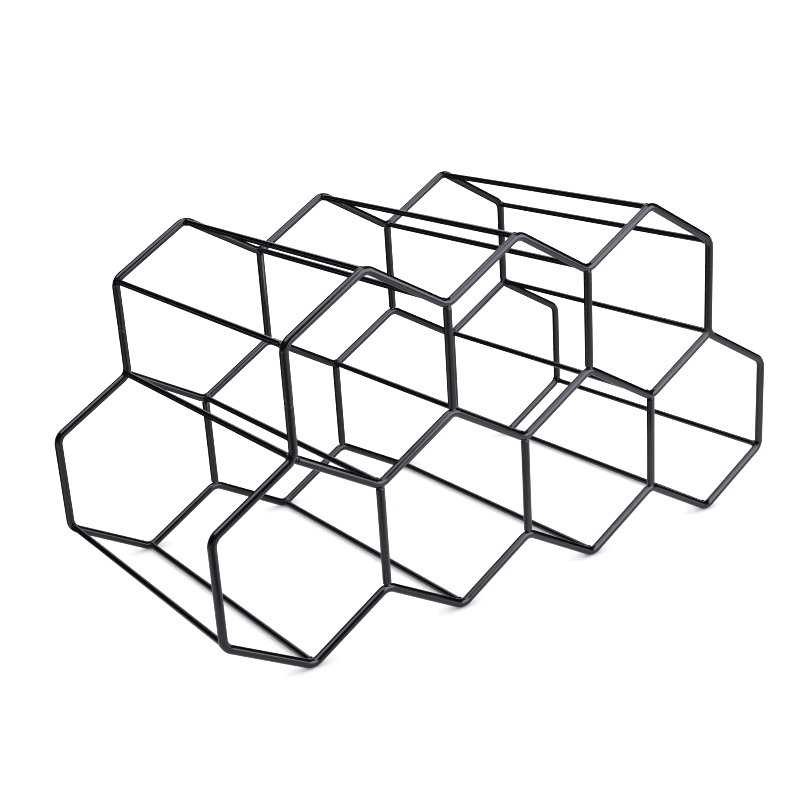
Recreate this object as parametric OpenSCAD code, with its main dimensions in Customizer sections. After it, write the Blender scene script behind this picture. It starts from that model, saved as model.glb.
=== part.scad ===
// Wire wine rack with seven honeycomb cells: four in the bottom row and three nested
// over them. Two identical frames of bent wire stand face to face, and cross rods join
// them at their bends. Every joint is a butt weld, so the end of a wire or rod is shaped
// to the curve of the wire it lands on.
// X runs along the rack, Y from the front frame to the back frame and Z up. The origin
// is on the surface that the rack stands on, under its middle.

/* [Cells] */
// Distance between the middles of neighbouring cells
cell_pitch = 100; // [85:1:125]
// Height of the upright wires, from corner to corner
upright_height = 59; // [48:1:75]
// Slope of the wires over and under a cell, in degrees
slope_angle = 30; // [22:1:38]

/* [Rack] */
// Overall depth over both frames
rack_depth = 202.9; // [150:0.1:300]

/* [Wire] */
// Diameter of the wire that the frames are made of
frame_wire_d = 4.8; // [4:0.1:6]
// Diameter of the cross rods
rod_d = 3.5; // [2:0.1:3.8]
// Radius of every bend, to the middle of the wire
bend_radius = 8; // [6:0.5:12]

/* [Welds] */
// How far in from its side the end of a frame wire is rounded, where it lands on another
end_rounding = 0.8; // [0.4:0.05:1]
// Gap between that rounded end and the wire it lands on, bridged by the weld's neck
neck_gap = 0.35; // [0.2:0.05:0.8]

/* [Hidden] */
LOWER_CELLS = 4;
UPPER_CELLS = LOWER_CELLS - 1;
FRAMES = ["front", "back"];
WIRE_COLOR = [0.12, 0.12, 0.13];
$fn = 48;

// A wire thickens a hair where it is bent, and a straight ends just inside its bends.
bend_d = frame_wire_d + 0.06;
bend_lap = 0.5;
frame_y = (rack_depth - bend_d) / 2;

// Heights of the corners, where the straight wires would cross, from the lowest corner.
slope_rise = cell_pitch / 2 * tan(slope_angle);
low_corner_z = slope_rise;
middle_z = low_corner_z + upright_height;
waist_z = middle_z + slope_rise;
valley_z = waist_z + upright_height;
peak_z = valley_z + slope_rise;

// Corners are [x, height]. Column 0 is the middle of the first cell in the lower row.
function corner(column, z) = [(column - (LOWER_CELLS - 1) / 2) * cell_pitch, z];

// Along the bottom from the left, with the top of each end's upright wire at the ends.
LAST_BOTTOM = 2 * LOWER_CELLS;
function bottom_corner(i) =
    i < 0 ? corner(-0.5, middle_z) :
    i > LAST_BOTTOM ? corner(LOWER_CELLS - 0.5, middle_z) :
    corner((i - 1) / 2, i % 2 == 0 ? low_corner_z : 0);

// Over the top from the left, with the foot of each end's upright wire at the ends.
LAST_TOP = 2 * UPPER_CELLS;
function top_corner(i) =
    i < 0 ? corner(0, waist_z) :
    i > LAST_TOP ? corner(UPPER_CELLS, waist_z) :
    corner(i / 2, i % 2 == 0 ? valley_z : peak_z);

// A bend is the three corners [before, at, after].
function bottom_bend(i) = [bottom_corner(i - 1), bottom_corner(i), bottom_corner(i + 1)];
function top_bend(i) = [top_corner(i - 1), top_corner(i), top_corner(i + 1)];
LEFT_WAIST_BEND = [bottom_corner(-1), top_corner(-1), top_corner(0)];
RIGHT_WAIST_BEND = [top_corner(LAST_TOP), top_corner(LAST_TOP + 1), bottom_corner(LAST_BOTTOM + 1)];

function unit(v) = v / norm(v);
function heading(bend) = unit(bend[1] - bend[0]);
function next_heading(bend) = unit(bend[2] - bend[1]);
// Angle that the wire turns by, and the side it turns to: 1 is left and -1 is right.
function turn(bend) = acos(heading(bend) * next_heading(bend));
function turn_side(bend) = sign(cross(heading(bend), next_heading(bend)));
// Direction from the corner to the inside of the bend.
function inward(bend) = unit(next_heading(bend) - heading(bend));
function bend_reach(bend) = bend_radius * tan(turn(bend) / 2);
function bend_start(bend) = bend[1] - heading(bend) * bend_reach(bend);
function bend_end(bend) = bend[1] + next_heading(bend) * bend_reach(bend);
function bend_centre(bend) = bend[1] + inward(bend) * bend_radius / cos(turn(bend) / 2);
function bend_middle(bend) = bend_centre(bend) - inward(bend) * bend_radius;

// The outer wire is one closed loop. It starts at the bottom left and runs to the right.
OUTER_CORNERS = concat(
    [for (i = [0 : LAST_BOTTOM + 1]) bottom_corner(i)],
    [for (i = [LAST_TOP + 1 : -1 : -1]) top_corner(i)],
    [bottom_corner(-1)]
);

// The middle wire zigzags between the rows, from one waist of the outer wire to the other.
MIDDLE_CORNERS = concat(
    [bend_middle(LEFT_WAIST_BEND)],
    [for (i = [1 : LAST_TOP - 1]) corner(i / 2, i % 2 == 0 ? waist_z : middle_z)],
    [bend_middle(RIGHT_WAIST_BEND)]
);
function middle_bend(i) = [MIDDLE_CORNERS[i - 1], MIDDLE_CORNERS[i], MIDDLE_CORNERS[i + 1]];

// The rack stands on the undersides of its lowest bends.
base_lift = bend_d / 2 - bend_middle(bottom_bend(1))[1];

// Draws in the plane of a frame: X and Y there are the rack's X and height.
module in_plane(y) {
    translate([0, y, base_lift])
        rotate([90, 0, 0])
            children();
}

module in_frame(frame) {
    in_plane(frame == "front" ? -frame_y : frame_y) children();
}

// Half outline of a wire's end, as [distance from the axis, distance along it]. A plain end
// is cut square. A welded end starts at the middle of the wire that it lands on, leaves it
// as a neck and then rounds out to the full wire.
ROUNDING_STEP = 15;
PLAIN_END = [[0, 0], [frame_wire_d / 2, 0]];
neck_r = frame_wire_d / 2 - end_rounding;
WELDED_END = concat(
    [[0, 0], [neck_r, 0]],
    [for (angle = [0 : ROUNDING_STEP : 90])
        [neck_r + end_rounding * sin(angle),
            bend_d / 2 + neck_gap + end_rounding * (1 - cos(angle))]]
);

module straight_wire(from, to, from_end = PLAIN_END, to_end = PLAIN_END) {
    run = to - from;
    last = len(to_end) - 1;
    outline = concat(from_end, [for (i = [last : -1 : 0]) [to_end[i][0], norm(run) - to_end[i][1]]]);
    translate([from[0], from[1], 0])
        rotate([0, 90, atan2(run[1], run[0])])
            rotate_extrude()
                polygon(outline);
}

module bent_wire(bend) {
    centre = bend_centre(bend);
    // An arc runs anticlockwise, so a right-hand bend is drawn from its far end.
    arc_start = (turn_side(bend) > 0 ? bend_start(bend) : bend_end(bend)) - centre;
    translate([centre[0], centre[1], 0])
        rotate([0, 0, atan2(arc_start[1], arc_start[0])])
            rotate_extrude(angle = turn(bend))
                translate([bend_radius, 0])
                    circle(d = bend_d);
}

// The straight from one bend to the next.
module wire_between(bend, next_bend) {
    lap = next_heading(bend) * bend_lap;
    straight_wire(bend_end(bend) - lap, bend_start(next_bend) + lap);
}

// The wire around the outside of a frame.
module outer_wire(frame) {
    count = len(OUTER_CORNERS);
    bends = [for (i = [0 : count - 1])
        [for (step = [-1 : 1]) OUTER_CORNERS[(i + step + count) % count]]];
    color(WIRE_COLOR)
        in_frame(frame)
            for (i = [0 : count - 1]) {
                bent_wire(bends[i]);
                wire_between(bends[i], bends[(i + 1) % count]);
            }
}

// The end straights of the middle wire, before they are cut to the waists of the outer wire.
module middle_wire_left_end() {
    bend = middle_bend(1);
    straight_wire(bend[0], bend_start(bend) + heading(bend) * bend_lap, from_end = WELDED_END);
}

module middle_wire_right_end() {
    bend = middle_bend(len(MIDDLE_CORNERS) - 2);
    straight_wire(bend_end(bend) - next_heading(bend) * bend_lap, bend[2], to_end = WELDED_END);
}

// The wire between the rows of a frame, welded to the waists of the outer wire.
module middle_wire(frame) {
    bend_count = len(MIDDLE_CORNERS) - 2;
    color(WIRE_COLOR)
        in_frame(frame)
            difference() {
                union() {
                    for (i = [1 : bend_count])
                        bent_wire(middle_bend(i));
                    for (i = [1 : bend_count - 1])
                        wire_between(middle_bend(i), middle_bend(i + 1));
                    middle_wire_left_end();
                    middle_wire_right_end();
                }
                bent_wire(LEFT_WAIST_BEND);
                bent_wire(RIGHT_WAIST_BEND);
            }
}

// An upright from a bend below it to a bend above it, before its ends are cut to them.
module upright_blank(foot_bend, head_bend) {
    straight_wire(bend_middle(foot_bend), bend_middle(head_bend), WELDED_END, WELDED_END);
}

module lower_divider_blank(i) {
    upright_blank(bottom_bend(2 * i), middle_bend(2 * i - 1));
}

module upper_divider_blank(i) {
    upright_blank(middle_bend(2 * i), top_bend(2 * i));
}

// The upright between cells i and i + 1 of the lower row.
module lower_divider(frame, i) {
    color(WIRE_COLOR)
        in_frame(frame)
            difference() {
                lower_divider_blank(i);
                bent_wire(bottom_bend(2 * i));
                bent_wire(middle_bend(2 * i - 1));
            }
}

// The upright between cells i and i + 1 of the upper row.
module upper_divider(frame, i) {
    color(WIRE_COLOR)
        in_frame(frame)
            difference() {
                upper_divider_blank(i);
                bent_wire(middle_bend(2 * i));
                bent_wire(top_bend(2 * i));
            }
}

// A rod from the middle of a bend in one frame to the same bend in the other. Its child, if
// it has one, is the wire that is welded to that bend too, drawn in the plane of a frame.
module cross_rod(bend) {
    middle = bend_middle(bend);
    color(WIRE_COLOR)
        difference() {
            translate([middle[0], frame_y, base_lift + middle[1]])
                rotate([90, 0, 0])
                    cylinder(h = 2 * frame_y, d = rod_d);
            for (y = [-frame_y, frame_y])
                in_plane(y) {
                    bent_wire(bend);
                    children();
                }
        }
}

// Rods along the top from the left, at every peak and valley.
module top_rod(i) {
    has_divider = i % 2 == 0 && i > 0 && i < LAST_TOP;
    cross_rod(top_bend(i))
        if (has_divider) upper_divider_blank(i / 2);
}

// Rods between the rows from the left: at both waists and at every valley between them.
MIDDLE_RODS = UPPER_CELLS + 2;
module middle_rod(i) {
    if (i == 0)
        cross_rod(LEFT_WAIST_BEND) middle_wire_left_end();
    else if (i == MIDDLE_RODS - 1)
        cross_rod(RIGHT_WAIST_BEND) middle_wire_right_end();
    else
        cross_rod(middle_bend(2 * i - 1)) lower_divider_blank(i);
}

// Rods along the bottom from the left: at both ends and under every cell.
BOTTOM_ROD_BENDS = concat([0], [for (i = [0 : LOWER_CELLS - 1]) 2 * i + 1], [LAST_BOTTOM]);
module bottom_rod(i) {
    cross_rod(bottom_bend(BOTTOM_ROD_BENDS[i]));
}

for (frame = FRAMES) {
    outer_wire(frame);
    middle_wire(frame);
    for (i = [1 : LOWER_CELLS - 1])
        lower_divider(frame, i);
    for (i = [1 : UPPER_CELLS - 1])
        upper_divider(frame, i);
}
for (i = [0 : LAST_TOP])
    top_rod(i);
for (i = [0 : MIDDLE_RODS - 1])
    middle_rod(i);
for (i = [0 : len(BOTTOM_ROD_BENDS) - 1])
    bottom_rod(i);
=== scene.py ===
"""Looks of a welded wire wine rack with seven honeycomb cells, built around its packed CAD frame.

Every wire, rod and weld is a mesh on the centre lines that the frame gives. They wear one black
powder coat, and stand on white paper between soft lights.
"""

import math

import bmesh
import bpy
from mathutils import Matrix, Vector, noise


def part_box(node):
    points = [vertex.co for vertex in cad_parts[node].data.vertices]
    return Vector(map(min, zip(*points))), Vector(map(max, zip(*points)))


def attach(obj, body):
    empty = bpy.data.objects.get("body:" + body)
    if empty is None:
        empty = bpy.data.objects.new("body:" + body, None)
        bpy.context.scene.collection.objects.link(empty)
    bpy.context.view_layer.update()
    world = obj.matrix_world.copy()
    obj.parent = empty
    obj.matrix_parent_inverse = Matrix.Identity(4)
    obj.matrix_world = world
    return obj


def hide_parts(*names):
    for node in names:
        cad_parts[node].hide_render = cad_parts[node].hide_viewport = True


bl_info = {
    "name": "Honeycomb Wire Wine Rack",
    "version": (1, 0, 0),
    "blender": (4, 5, 0),
    "location": "3D View > Sidebar > Wine Rack",
    "description": "Bends, welds and coats the wires of a wine rack around its CAD frame",
    "category": "Add Mesh",
}

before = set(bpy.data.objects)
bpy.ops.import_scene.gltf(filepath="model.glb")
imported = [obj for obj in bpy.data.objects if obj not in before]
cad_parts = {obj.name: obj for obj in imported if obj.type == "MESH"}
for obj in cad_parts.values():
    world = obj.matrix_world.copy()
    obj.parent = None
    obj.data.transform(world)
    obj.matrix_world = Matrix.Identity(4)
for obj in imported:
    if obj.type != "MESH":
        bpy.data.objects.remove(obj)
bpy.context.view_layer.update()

MM = 0.001
BODY = "root"

UP = Vector((0, 0, 1))
ACROSS = Vector((1, 0, 0))
DEEP = Vector((0, 1, 0))

# ---------------------------------------------------------------- sizes that the frame gives

LOWER_CELLS = 4
UPPER_CELLS = 3
# A wire turns by this at every bend of a honeycomb, and its slopes rise by half of it.
TURN = math.radians(60)
SLOPE = TURN / 2


def middle(node):
    """The middle of a CAD node's box."""
    low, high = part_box(node)
    return (low + high) / 2


def side(node, axis):
    """The length of a CAD node's box along an axis."""
    low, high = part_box(node)
    return high[axis] - low[axis]


WIRE_D = side("front_lower_divider_1", 0)
# The CAD wires are a hair thicker where they are bent. Outer and middle wires are drawn as thick
# as that all along.
BEND_D = side("front_outer_wire", 1)
ROD_D = side("top_rod_1", 0)
PLANES = {"front": middle("front_outer_wire").y, "back": middle("back_outer_wire").y}


class Honeycomb:
    """Corners, where the straight wires would cross, and the bends that round them off.

    Two rods or wires of each row are enough to place it all.
    """

    def __init__(self, bend_radius):
        # How far the middle of a bend lies inside its corner.
        self.inset = bend_radius * (1 / math.cos(TURN / 2) - 1)
        half = self.inset * math.sin(SLOPE)
        self.pitch = (middle("bottom_rod_5").x - middle("bottom_rod_2").x) / (LOWER_CELLS - 1)
        self.bottom = middle("bottom_rod_2").z - self.inset
        self.low = middle("bottom_rod_1").z - half
        self.middle = middle("middle_rod_2").z - self.inset
        self.waist = middle("middle_rod_1").z - half
        self.valley = middle("top_rod_3").z - self.inset
        self.peak = middle("top_rod_2").z + self.inset

    def corner(self, column, z):
        """A corner at a height. Column 0 is the middle of the first cell in the lower row."""
        return Vector(((column - (LOWER_CELLS - 1) / 2) * self.pitch, 0, z))

    def outer_corners(self):
        """Once round a frame: along the bottom from the left, then back over the top."""
        bottom = [
            self.corner((i - 1) / 2, self.low if i % 2 == 0 else self.bottom)
            for i in range(2 * LOWER_CELLS + 1)
        ]
        right = [
            self.corner(LOWER_CELLS - 0.5, self.middle),
            self.corner(UPPER_CELLS, self.waist),
        ]
        top = [
            self.corner(i / 2, self.valley if i % 2 == 0 else self.peak)
            for i in range(2 * UPPER_CELLS, -1, -1)
        ]
        left = [self.corner(0, self.waist), self.corner(-0.5, self.middle)]
        return bottom + right + top + left

    def middle_corners(self):
        """Between the rows, from the waist at the left to the waist at the right."""
        zigzag = [
            self.corner(i / 2, self.waist if i % 2 == 0 else self.middle)
            for i in range(1, 2 * UPPER_CELLS)
        ]
        return [self.at("middle_rod_1"), *zigzag, self.at(f"middle_rod_{UPPER_CELLS + 2}")]

    def at(self, node):
        """The middle of a rod, in the plane of a frame."""
        place = middle(node)
        return Vector((place.x, 0, place.z))


# ---------------------------------------------------------------- meshes

# A bend is drawn in steps of about this.
BEND_STEP = math.radians(5)


def stations(corners, radius, closed):
    """Points and directions along a bent wire: the ends of an open one, and steps round bends."""
    count = len(corners)
    found = []
    for i, corner in enumerate(corners):
        if not closed and i in (0, count - 1):
            other = corners[1] if i == 0 else corners[-2]
            direction = (other - corner).normalized() * (1 if i == 0 else -1)
            found.append((corner, direction))
            continue
        before = (corner - corners[i - 1]).normalized()
        after = (corners[(i + 1) % count] - corner).normalized()
        turn = before.angle(after)
        inward = (after - before).normalized()
        centre = corner + inward * radius / math.cos(turn / 2)
        steps = max(2, round(turn / BEND_STEP))
        for k in range(steps + 1):
            angle = turn * (k / steps - 0.5)
            rotation = Matrix.Rotation(angle, 3, before.cross(after))
            spoke = rotation @ -inward
            direction = rotation @ (before + after).normalized()
            found.append((centre + spoke * radius, direction))
    return found


def ring(centre, direction, radius, sides, shape=None):
    """A circle of points across direction. shape(angle) may swell it."""
    # Wires lie in the plane of a frame and rods run along Y, so their rings start differently.
    across = DEEP if abs(direction.y) < 0.5 else ACROSS
    upward = direction.cross(across).normalized()
    points = []
    for k in range(sides):
        angle = 2 * math.pi * k / sides
        r = radius * (shape(angle) if shape else 1)
        points.append(centre + (across * math.cos(angle) + upward * math.sin(angle)) * r)
    return points


def skin(mesh, rings, closed):
    """Quads from each ring to the next. An open run is closed by a face at both ends."""
    rows = [[mesh.verts.new(p) for p in points] for points in rings]
    pairs = list(zip(rows, rows[1:]))
    if closed:
        pairs.append((rows[-1], rows[0]))
    for a, b in pairs:
        for k in range(len(a)):
            n = (k + 1) % len(a)
            mesh.faces.new((a[k], a[n], b[n], b[k]))
    if not closed:
        mesh.faces.new(rows[0][::-1])
        mesh.faces.new(rows[-1])


def piece(node, rings, closed, material):
    """Skins rings into a smooth piece that wears the coat and stands in for a CAD node."""
    mesh = bmesh.new()
    skin(mesh, rings, closed)
    bmesh.ops.recalc_face_normals(mesh, faces=mesh.faces)
    for face in mesh.faces:
        face.smooth = True
    data = bpy.data.meshes.new(f"{node}_coated")
    mesh.to_mesh(data)
    mesh.free()
    data.materials.append(material)
    made = bpy.data.objects.new(f"{node}_coated", data)
    bpy.context.scene.collection.objects.link(made)
    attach(made, BODY)
    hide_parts(node)
    return made


# ---------------------------------------------------------------- settings


class WINERACK_PG_wire(bpy.types.PropertyGroup):
    """Sizes of the wires."""

    wire_diameter: bpy.props.FloatProperty(
        name="Frame wire",
        description="Diameter of the wire of both frames",
        default=WIRE_D,
        min=0.001,
        unit="LENGTH",
    )
    rod_diameter: bpy.props.FloatProperty(
        name="Cross rod",
        description="Diameter of the rods between the frames",
        default=ROD_D,
        min=0.001,
        unit="LENGTH",
    )
    bend_radius: bpy.props.FloatProperty(
        name="Bend radius",
        description="Radius of every bend, to the middle of the wire",
        default=8 * MM,
        min=0.004,
        unit="LENGTH",
    )
    sides: bpy.props.IntProperty(
        name="Sides", description="Faces round a wire", default=32, min=8, max=96
    )


class WINERACK_PG_weld(bpy.types.PropertyGroup):
    """Sizes of the welds."""

    foot_neck: bpy.props.FloatProperty(
        name="Foot neck",
        description="How far in from the side of its wire the weld under a divider is",
        default=0.7 * MM,
        min=0,
        unit="LENGTH",
    )
    head_neck: bpy.props.FloatProperty(
        name="Head neck",
        description="How far in from the side of its wire the weld over a divider is",
        default=0.3 * MM,
        min=0,
        unit="LENGTH",
    )
    gap: bpy.props.FloatProperty(
        name="Gap",
        description="Distance that a weld bridges between two frame wires",
        default=0.35 * MM,
        min=0,
        unit="LENGTH",
    )
    fillet: bpy.props.FloatProperty(
        name="Fillet",
        description="How far a weld spreads where it meets the wire that is landed on",
        default=0.5 * MM,
        min=0,
        unit="LENGTH",
    )
    unevenness: bpy.props.FloatProperty(
        name="Unevenness",
        description="How much a weld between two frame wires varies round its wire",
        default=0.3,
        min=0,
        max=1,
        subtype="FACTOR",
    )
    rod_bead: bpy.props.FloatProperty(
        name="Rod bead",
        description="How far the bead at the end of a rod stands out",
        default=0.42 * MM,
        min=0,
        unit="LENGTH",
    )
    rod_bead_length: bpy.props.FloatProperty(
        name="Rod bead length",
        description="How far that bead runs along the rod",
        default=2.4 * MM,
        min=0.0005,
        unit="LENGTH",
    )
    seam_depth: bpy.props.FloatProperty(
        name="Seam depth",
        description="Depth of the marks where an outer wire is closed",
        default=0.14 * MM,
        min=0,
        unit="LENGTH",
    )
    seam_length: bpy.props.FloatProperty(
        name="Seam length",
        description="How far those marks run along the wire",
        default=4.6 * MM,
        min=0.001,
        unit="LENGTH",
    )


class WINERACK_PG_coat(bpy.types.PropertyGroup):
    """Finish of the rack."""

    color: bpy.props.StringProperty(
        name="Coat", description="Colour of the powder coat, as sRGB hex", default="#060608"
    )
    roughness: bpy.props.FloatProperty(
        name="Roughness",
        description="Roughness of the coat",
        default=0.15,
        min=0,
        max=1,
        subtype="FACTOR",
    )
    peel_size: bpy.props.FloatProperty(
        name="Orange peel",
        description="Distance between the waves of the cured powder",
        default=1.6 * MM,
        min=0.0002,
        unit="LENGTH",
    )
    peel_depth: bpy.props.FloatProperty(
        name="Peel depth",
        description="Depth of those waves",
        default=0.008 * MM,
        min=0,
        unit="LENGTH",
    )


class WINERACK_PG_studio(bpy.types.PropertyGroup):
    """Floor, lights and camera."""

    paper: bpy.props.StringProperty(
        name="Paper", description="Colour of the floor, as sRGB hex", default="#F2F2F3"
    )
    room: bpy.props.FloatProperty(
        name="Room light",
        description="Strength of the light from all round",
        default=1.5,
        min=0,
    )
    softboxes: bpy.props.FloatProperty(
        name="Softboxes",
        description="Brightness of all the softboxes",
        default=1.0,
        min=0,
        subtype="FACTOR",
    )
    softbox_color: bpy.props.StringProperty(
        name="Softbox colour",
        description="Colour of the softboxes, as sRGB hex",
        default="#EFF1FF",
    )
    lens: bpy.props.FloatProperty(
        name="Lens",
        description="Focal length of the camera, in millimetres",
        default=59.35,
        min=10,
    )


GROUPS = {
    "winerack_wire": WINERACK_PG_wire,
    "winerack_weld": WINERACK_PG_weld,
    "winerack_coat": WINERACK_PG_coat,
    "winerack_studio": WINERACK_PG_studio,
}

# ---------------------------------------------------------------- materials

# Distance between the places where the coat went on thin, and the part of the noise that counts.
THIN_SIZE = 9 * MM
THIN_FROM, THIN_TO = 0.3, 0.7
# How far the coat's roughness falls and rises with it, and how much paler it gets.
SMOOTHER, ROUGHER = 0.03, 0.04
PALER = 1.5


def linear(color):
    """An sRGB hex colour as linear RGBA."""
    parts = [int(color[i : i + 2], 16) / 255 for i in (1, 3, 5)]
    return [c / 12.92 if c <= 0.04045 else ((c + 0.055) / 1.055) ** 2.4 for c in parts] + [1]


def add(tree, kind, settings=None, links=None):
    """A node with its settings, and with links to its inputs, which are named or numbered."""
    node = tree.nodes.new(kind)
    for key, value in (settings or {}).items():
        if isinstance(key, int) or key in node.inputs:
            node.inputs[key].default_value = value
        else:
            setattr(node, key, value)
    for key, output in (links or {}).items():
        tree.links.new(output, node.inputs[key])
    return node


def powder_coat(settings):
    """Black polyester powder coat, sprayed on steel wire and baked."""
    # The powder melts and levels, but keeps a fine orange peel that breaks up the edges of every
    # highlight. It is a little rougher and greyer where it went on thin.
    name = "black_powder_coat_semigloss"
    if name in bpy.data.materials:
        return bpy.data.materials[name]
    material = bpy.data.materials.new(name)
    material.use_nodes = True
    tree = material.node_tree
    tree.nodes.clear()
    place = add(tree, "ShaderNodeTexCoord").outputs["Object"]
    peel = add(
        tree,
        "ShaderNodeTexNoise",
        {"Scale": 1 / settings.peel_size, "Detail": 2.0, "Roughness": 0.55},
        {"Vector": place},
    )
    thin = add(
        tree, "ShaderNodeTexNoise", {"Scale": 1 / THIN_SIZE, "Detail": 3.0}, {"Vector": place}
    )
    rough = add(
        tree,
        "ShaderNodeMapRange",
        {
            "From Min": THIN_FROM,
            "From Max": THIN_TO,
            "To Min": settings.roughness - SMOOTHER,
            "To Max": settings.roughness + ROUGHER,
        },
        {"Value": thin.outputs["Fac"]},
    )
    dark = linear(settings.color)
    pale = [min(1, c * PALER) for c in dark[:3]] + [1]
    # A mix of colours has its factor in input 0, its colours in 6 and 7 and its result in 2.
    color = add(
        tree,
        "ShaderNodeMix",
        {"data_type": "RGBA", 6: dark, 7: pale},
        {0: thin.outputs["Fac"]},
    )
    bump = add(
        tree,
        "ShaderNodeBump",
        {"Strength": 1.0, "Distance": settings.peel_depth},
        {"Height": peel.outputs["Fac"]},
    )
    shader = add(
        tree,
        "ShaderNodeBsdfPrincipled",
        {"IOR": 1.5, "Metallic": 0.0},
        {
            "Base Color": color.outputs[2],
            "Roughness": rough.outputs["Result"],
            "Normal": bump.outputs["Normal"],
        },
    )
    add(tree, "ShaderNodeOutputMaterial", None, {"Surface": shader.outputs["BSDF"]})
    return material


def matt_paper(name, color):
    """Background paper, or a card that paints a reflection in the coat; both scatter light evenly
    and show hardly any gloss.
    """
    material = bpy.data.materials.new(name)
    material.use_nodes = True
    tree = material.node_tree
    tree.nodes.clear()
    shader = add(
        tree,
        "ShaderNodeBsdfPrincipled",
        {"Base Color": linear(color), "Roughness": 0.9, "IOR": 1.45, "Specular IOR Level": 0.2},
    )
    add(tree, "ShaderNodeOutputMaterial", None, {"Surface": shader.outputs["BSDF"]})
    return material


# ---------------------------------------------------------------- welds

# The marks of a seam: how many steps draw it, where along its half its grooves are and how wide
# they are, and how deep the flat between them is next to their own depth.
SEAM_STEPS = 22
GROOVE_AT = 0.6
GROOVE_WIDTH = 0.24
FLAT_DEPTH = 0.3
# Round the wire the marks have this share of their depth on average, and vary by as much.
SEAM_MARK = 0.75

# A weld's fillet starts this far inside the wire that it lands on.
FILLET_DEPTH = 0.6 * MM
FILLET_STEPS = 5
ROUNDING_STEPS = 8

# A rod starts this share of the frame wire's radius inside it.
ROD_SUNK = 0.9
BEAD_STEPS = 12
# The bead is steep next to the frame wire and fades into the rod. Under 1 leans it to the wire.
BEAD_LEAN = 0.6
BEAD_POWER = 1.3
BEAD_UNEVENNESS = 0.55

# The lumps of the hand welding: how coarse they are round the wire, how fast they change along
# it in noise units per mm, and how far apart in the noise neighbouring welds are.
SEAM_LUMPS, SEAM_GRAIN, SEAM_APART = 1.1, 0.6, 5.3
WELD_LUMPS, WELD_GRAIN, WELD_APART = 1.2, 0.5, (4.7, 1.9)
BEAD_LUMPS, BEAD_GRAIN, BEAD_APART = 0.9, 0.35, (3.1, 7.7)
# Every weld between two frame wires has a number of its own: feet of dividers from 0, and these.
FIRST_HEAD = 20
FIRST_LEFT_END = 40
FIRST_RIGHT_END = 50


def lump(seed, angle, size):
    """Noise between about -1 and 1 that closes on itself once round a wire."""
    return noise.noise(seed + Vector((math.cos(angle), math.sin(angle), 0)) * size)


def with_seam(path, closing, weld):
    """[point, direction, depth of the marks] along an outer wire with its closing seam."""
    found = []
    for (place, direction), (after, _) in zip(path, path[1:] + path[:1]):
        found.append((place, direction, 0))
        on_line = (closing - place).cross(after - place).length < MM * MM
        if on_line and (closing - place).dot(closing - after) < 0:
            for k in range(SEAM_STEPS + 1):
                share = 2 * k / SEAM_STEPS - 1
                groove = math.exp(-(((abs(share) - GROOVE_AT) / GROOVE_WIDTH) ** 2))
                groove += FLAT_DEPTH if abs(share) < GROOVE_AT else 0
                spot = closing + direction * share * weld.seam_length / 2
                found.append((spot, direction, weld.seam_depth * groove))
    return found


def seam_marks(share, seed):
    """How much of its radius a wire keeps at each angle of its seam."""

    def kept(angle):
        return 1 - share * (SEAM_MARK + SEAM_MARK * lump(seed, angle, SEAM_LUMPS))

    return kept


def weld_lumps(uneven, seed, most):
    """How far a weld swells at each angle, and no more than the wire that it lands on."""

    def swell(angle):
        return min(most, 1 + uneven * lump(seed, angle, WELD_LUMPS))

    return swell


def bead_lumps(height, seed):
    """How far a rod swells at each angle of its bead."""

    def swell(angle):
        return 1 + height * (1 + BEAD_UNEVENNESS * lump(seed, angle, BEAD_LUMPS))

    return swell


def welded_end(landing, inward, neck, wire, weld, number):
    """Rings along the end of a frame wire, from inside the wire it lands on to full thickness."""
    full = wire.wire_diameter / 2
    surface = BEND_D / 2
    throat = full - neck
    # Each row is a distance, a radius, and how much of the unevenness shows there.
    rows = [(0, throat / 2, 0)]
    # The fillet narrows to the throat, and then the rounded end of the wire swells out.
    for k in range(FILLET_STEPS + 1):
        share = k / FILLET_STEPS
        spread = weld.fillet * (1 - share) ** 2
        distance = surface - FILLET_DEPTH + share * (FILLET_DEPTH + weld.gap)
        rows.append((distance, min(surface, throat + spread), 1))
    for k in range(1, ROUNDING_STEPS + 1):
        angle = math.pi / 2 * k / ROUNDING_STEPS
        distance = surface + weld.gap + weld.foot_neck * (1 - math.cos(angle))
        rows.append((distance, throat + neck * math.sin(angle), 1 - k / ROUNDING_STEPS))
    # The lumps of the two ends of a wire face the same way, so their rings run the same way round.
    axis = inward if inward.z + inward.x > 0 else -inward
    rings = []
    for distance, radius, uneven in rows:
        seed = Vector(
            (number * WELD_APART[0], distance / MM * WELD_GRAIN, number * WELD_APART[1])
        )
        lumps = weld_lumps(uneven * weld.unevenness, seed, surface / radius)
        rings.append(ring(landing + inward * distance, axis, radius, wire.sides, lumps))
    return rings


def rod_bead(weld):
    """Distance from the frame wire, and how far the bead stands out, along the end of a rod."""
    found = [(-ROD_SUNK * BEND_D / 2, 0)]
    for k in range(BEAD_STEPS + 1):
        share = k / BEAD_STEPS
        height = math.sin(math.pi * share**BEAD_LEAN) ** BEAD_POWER if 0 < share < 1 else 0
        found.append((share * weld.rod_bead_length, weld.rod_bead * height))
    return found


# ---------------------------------------------------------------- operators


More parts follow.
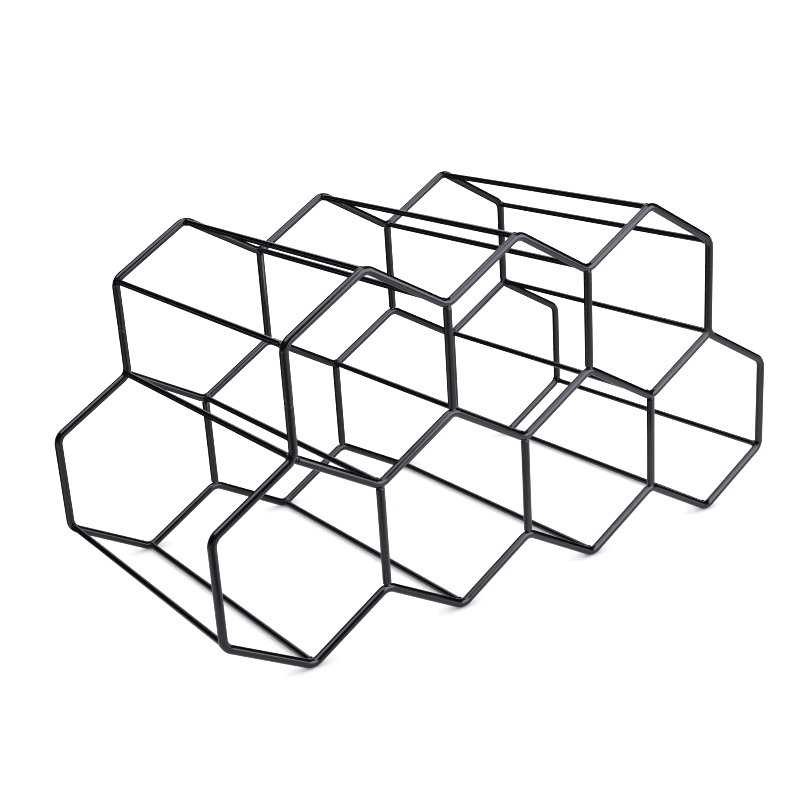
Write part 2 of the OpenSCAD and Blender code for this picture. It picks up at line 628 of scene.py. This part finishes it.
class WINERACK_OT_outer_wires(bpy.types.Operator):
    """Bend the closed outer wire of both frames"""

    bl_idname = "winerack.outer_wires"
    bl_label = "Outer wires"

    def execute(self, context):
        scene = context.scene
        wire, weld = scene.winerack_wire, scene.winerack_weld
        comb = Honeycomb(wire.bend_radius)
        path = stations(comb.outer_corners(), wire.bend_radius, True)
        # The wire is closed halfway up the upright at the top left.
        closing = (comb.corner(0, comb.valley) + comb.corner(0, comb.waist)) / 2
        for number, (plane, y) in enumerate(PLANES.items()):
            rings = []
            for place, direction, depth in with_seam(path, closing, weld):
                seed = Vector((number * SEAM_APART, 0, place.z / MM * SEAM_GRAIN))
                marks = seam_marks(depth / (BEND_D / 2), seed) if depth else None
                rings.append(ring(place + DEEP * y, direction, BEND_D / 2, wire.sides, marks))
            piece(f"{plane}_outer_wire", rings, True, powder_coat(scene.winerack_coat))
        return {"FINISHED"}


class WINERACK_OT_middle_wires(bpy.types.Operator):
    """Bend the zigzag wire between the rows of both frames"""

    bl_idname = "winerack.middle_wires"
    bl_label = "Middle wires"

    def execute(self, context):
        scene = context.scene
        wire, weld = scene.winerack_wire, scene.winerack_weld
        comb = Honeycomb(wire.bend_radius)
        (left, rightward), *bends, (right, onward) = stations(
            comb.middle_corners(), wire.bend_radius, False
        )
        for k, (plane, y) in enumerate(PLANES.items()):
            offset = DEEP * y
            head = welded_end(
                left + offset, rightward, weld.head_neck, wire, weld, FIRST_LEFT_END + k
            )
            tail = welded_end(
                right + offset, -onward, weld.head_neck, wire, weld, FIRST_RIGHT_END + k
            )
            body = [ring(place + offset, way, BEND_D / 2, wire.sides) for place, way in bends]
            rings = head + body + tail[::-1]
            piece(f"{plane}_middle_wire", rings, False, powder_coat(scene.winerack_coat))
        return {"FINISHED"}


def divider_ends(comb):
    """{name: (foot, head)} of every divider of a frame, at the middles of the bends it joins."""
    found = {}
    inset = UP * comb.inset
    for i in range(1, LOWER_CELLS):
        foot = comb.corner(i - 0.5, comb.low) - inset
        found[f"lower_divider_{i}"] = (foot, comb.at(f"middle_rod_{i + 1}"))
    for i in range(1, UPPER_CELLS):
        foot = comb.corner(i, comb.waist) - inset
        found[f"upper_divider_{i}"] = (foot, comb.at(f"top_rod_{2 * i + 1}"))
    return found


class WINERACK_OT_dividers(bpy.types.Operator):
    """Cut the uprights between the cells and round their ends"""

    bl_idname = "winerack.dividers"
    bl_label = "Dividers"

    def execute(self, context):
        scene = context.scene
        wire, weld = scene.winerack_wire, scene.winerack_weld
        ends = divider_ends(Honeycomb(wire.bend_radius))
        for i, (name, (foot, head)) in enumerate(ends.items()):
            for k, (plane, y) in enumerate(PLANES.items()):
                number = len(PLANES) * i + k
                lower = welded_end(foot + DEEP * y, UP, weld.foot_neck, wire, weld, number)
                upper = welded_end(
                    head + DEEP * y, -UP, weld.head_neck, wire, weld, FIRST_HEAD + number
                )
                rings = lower + upper[::-1]
                piece(f"{plane}_{name}", rings, False, powder_coat(scene.winerack_coat))
        return {"FINISHED"}


RODS = (
    [f"top_rod_{i + 1}" for i in range(2 * UPPER_CELLS + 1)]
    + [f"middle_rod_{i + 1}" for i in range(UPPER_CELLS + 2)]
    + [f"bottom_rod_{i + 1}" for i in range(LOWER_CELLS + 2)]
)


class WINERACK_OT_cross_rods(bpy.types.Operator):
    """Cut the rods between the frames, with a bead at both ends"""

    bl_idname = "winerack.cross_rods"
    bl_label = "Cross rods"

    def execute(self, context):
        scene = context.scene
        wire, weld = scene.winerack_wire, scene.winerack_weld
        radius = wire.rod_diameter / 2
        for number, node in enumerate(RODS):
            place = middle(node)
            halves = []
            for end, (plane, inward) in enumerate((("front", DEEP), ("back", -DEEP))):
                start = Vector((place.x, PLANES[plane], place.z))
                half = []
                for distance, height in rod_bead(weld):
                    seed = Vector(
                        (number * BEAD_APART[0], end * BEAD_APART[1], distance / MM * BEAD_GRAIN)
                    )
                    spot = start + inward * (BEND_D / 2 + distance)
                    lumps = bead_lumps(height / radius, seed)
                    half.append(ring(spot, DEEP, radius, wire.sides, lumps))
                halves.append(half)
            rings = halves[0] + halves[1][::-1]
            piece(node, rings, False, powder_coat(scene.winerack_coat))
        return {"FINISHED"}


# Each softbox: name, heading and height of its middle as seen from the rack in degrees, distance,
# width and height in metres, and how many times brighter than white paper it is. Heading 0 is the
# front and 90 the right.
SOFTBOXES = (
    ("overhead_softbox", -83, 75.5, 1.16, 1.12, 1.3, 4.1),
    ("top_front_softbox", 9, 50, 1.15, 0.5, 0.3, 3.4),
    ("front_softbox", 22, 23, 0.58, 0.5, 0.52, 5.4),
    ("back_softbox", 150, 24, 1.2, 0.64, 0.7, 1.5),
)
# The soft sun that draws faint shadows beside the lowest wires: heading, height and spread in
# degrees, strength, and how far off it stands.
SUN = (87, 26, 24, 0.5, 2)
# Painted reflections: grey, dark and pale cards on the floor that only the gloss of the coat sees,
# so its reflection of the white paper is painted darker or lighter there: name, lowest and highest
# corner, and colour.
PAINTED_REFLECTION_CARDS = (
    ("middle_card", (-3, -3), (3, 3), "#BFBFCC"),
    ("back_card", (-2, 0.12), (2, 3), "#181818"),
    ("front_card", (-1.1, -1.4), (-0.14, -0.2), "#606060"),
    ("bright_card", (-0.05, -0.3), (0.27, -0.11), "#EDEDF8"),
)
# Each card lies this far over the one before it, and the first over the floor.
CARD_LIFT = 0.05 * MM
# The paper runs out of sight.
FLOOR_SIDE = 60
RACK_MIDDLE = Vector((0, 0, 0.1))

CAMERA_PLACE = Vector((-0.4505, -0.6374, 0.3547))
CAMERA_YAW, CAMERA_PITCH, CAMERA_ROLL = (math.radians(a) for a in (34.26, 18.84, -3.78))
CAMERA_SENSOR = 36
CAMERA_NEAR, CAMERA_FAR = 0.01, 200
# How far the renderer's filter spreads an edge.
FILTER_WIDTH = 1.0


def toward(heading, height):
    """The direction from the rack at a heading and a height in degrees."""
    turn, rise = math.radians(heading), math.radians(height)
    flat = math.cos(rise)
    return Vector((math.sin(turn) * flat, -math.cos(turn) * flat, math.sin(rise)))


def lamp(name, kind, away, distance):
    """A light of a kind that shines on the rack from a direction."""
    light = bpy.data.lights.new(name, kind)
    made = bpy.data.objects.new(name, light)
    made.location = RACK_MIDDLE + away * distance
    made.rotation_mode = "QUATERNION"
    made.rotation_quaternion = away.to_track_quat("Z", "Y")
    made.visible_camera = False
    bpy.context.scene.collection.objects.link(made)
    return made


def sheet(name, low, high, lift, material):
    """A flat sheet of paper on the floor, between two corners."""
    mesh = bpy.data.meshes.new(name)
    (left, near), (right, far) = low, high
    corners = [(left, near, lift), (right, near, lift), (right, far, lift), (left, far, lift)]
    mesh.from_pydata(corners, [], [(0, 1, 2, 3)])
    mesh.materials.append(material)
    made = bpy.data.objects.new(name, mesh)
    bpy.context.scene.collection.objects.link(made)
    return made


class WINERACK_OT_stage(bpy.types.Operator):
    """Lay the paper and set the lights and the camera"""

    bl_idname = "winerack.stage"
    bl_label = "Studio"

    def execute(self, context):
        scene = context.scene
        studio = scene.winerack_studio
        half = FLOOR_SIDE / 2
        paper = matt_paper("matt_white_paper", studio.paper)
        sheet("paper_floor", (-half, -half), (half, half), 0, paper)
        # The cards are seen by the gloss of the coat alone: their colours are painted reflections,
        # darker or lighter than the white paper that the camera sees.
        for i, (name, low, high, color) in enumerate(PAINTED_REFLECTION_CARDS):
            reflection_card = sheet(name, low, high, CARD_LIFT * (i + 1), matt_paper(f"matt_{name}", color))
            reflection_card.visible_camera = reflection_card.visible_diffuse = reflection_card.visible_shadow = False

        # The room lights the paper evenly as far as it goes. The softboxes are what the gloss of
        # the coat shows.
        world = bpy.data.worlds.new("white_room")
        world.use_nodes = True
        background = world.node_tree.nodes["Background"]
        background.inputs["Color"].default_value = linear("#FFFFFF")
        background.inputs["Strength"].default_value = studio.room
        world.cycles_visibility.glossy = False
        scene.world = world

        for name, heading, height, distance, wide, tall, brightness in SOFTBOXES:
            softbox = lamp(name, "AREA", toward(heading, height), distance)
            softbox.data.shape = "RECTANGLE"
            softbox.data.size, softbox.data.size_y = wide, tall
            softbox.data.energy = brightness * studio.softboxes * math.pi * wide * tall
            softbox.data.color = linear(studio.softbox_color)[:3]
            softbox.visible_diffuse = False
        heading, height, spread, strength, distance = SUN
        sun = lamp("soft_sun", "SUN", toward(heading, height), distance)
        sun.data.angle = math.radians(spread)
        sun.data.energy = strength
        sun.visible_glossy = False

        camera = bpy.data.objects.new("camera", bpy.data.cameras.new("camera"))
        camera.data.lens = studio.lens
        camera.data.sensor_width = CAMERA_SENSOR
        camera.data.clip_start, camera.data.clip_end = CAMERA_NEAR, CAMERA_FAR
        ahead = -toward(math.degrees(-CAMERA_YAW), math.degrees(CAMERA_PITCH))
        right = ahead.cross(UP).normalized()
        upward = right.cross(ahead)
        level = Matrix((right, upward, -ahead)).transposed()
        turned = level @ Matrix.Rotation(CAMERA_ROLL, 3, "Z")
        camera.matrix_world = Matrix.Translation(CAMERA_PLACE) @ turned.to_4x4()
        scene.collection.objects.link(camera)
        scene.camera = camera
        scene.view_settings.view_transform = "Standard"
        scene.cycles.filter_width = FILTER_WIDTH
        return {"FINISHED"}


OPERATORS = (
    WINERACK_OT_outer_wires,
    WINERACK_OT_middle_wires,
    WINERACK_OT_dividers,
    WINERACK_OT_cross_rods,
    WINERACK_OT_stage,
)


class WINERACK_PT_panel(bpy.types.Panel):
    """Buttons and sizes of the wine rack"""

    bl_idname = "WINERACK_PT_panel"
    bl_label = "Wine Rack"
    bl_space_type = "VIEW_3D"
    bl_region_type = "UI"
    bl_category = "Wine Rack"

    def draw(self, context):
        for group, kind in GROUPS.items():
            box = self.layout.box()
            box.label(text=kind.__doc__)
            for name in kind.__annotations__:
                box.prop(getattr(context.scene, group), name)
        for operator in OPERATORS:
            self.layout.operator(operator.bl_idname)


CLASSES = (*GROUPS.values(), *OPERATORS, WINERACK_PT_panel)


def register():
    for kind in CLASSES:
        bpy.utils.register_class(kind)
    for name, kind in GROUPS.items():
        setattr(bpy.types.Scene, name, bpy.props.PointerProperty(type=kind))


def unregister():
    for name in GROUPS:
        delattr(bpy.types.Scene, name)
    for kind in reversed(CLASSES):
        bpy.utils.unregister_class(kind)


def main():
    register()
    for operator in OPERATORS:
        group, name = operator.bl_idname.split(".")
        getattr(getattr(bpy.ops, group), name)()


if __name__ == "__main__":
    main()
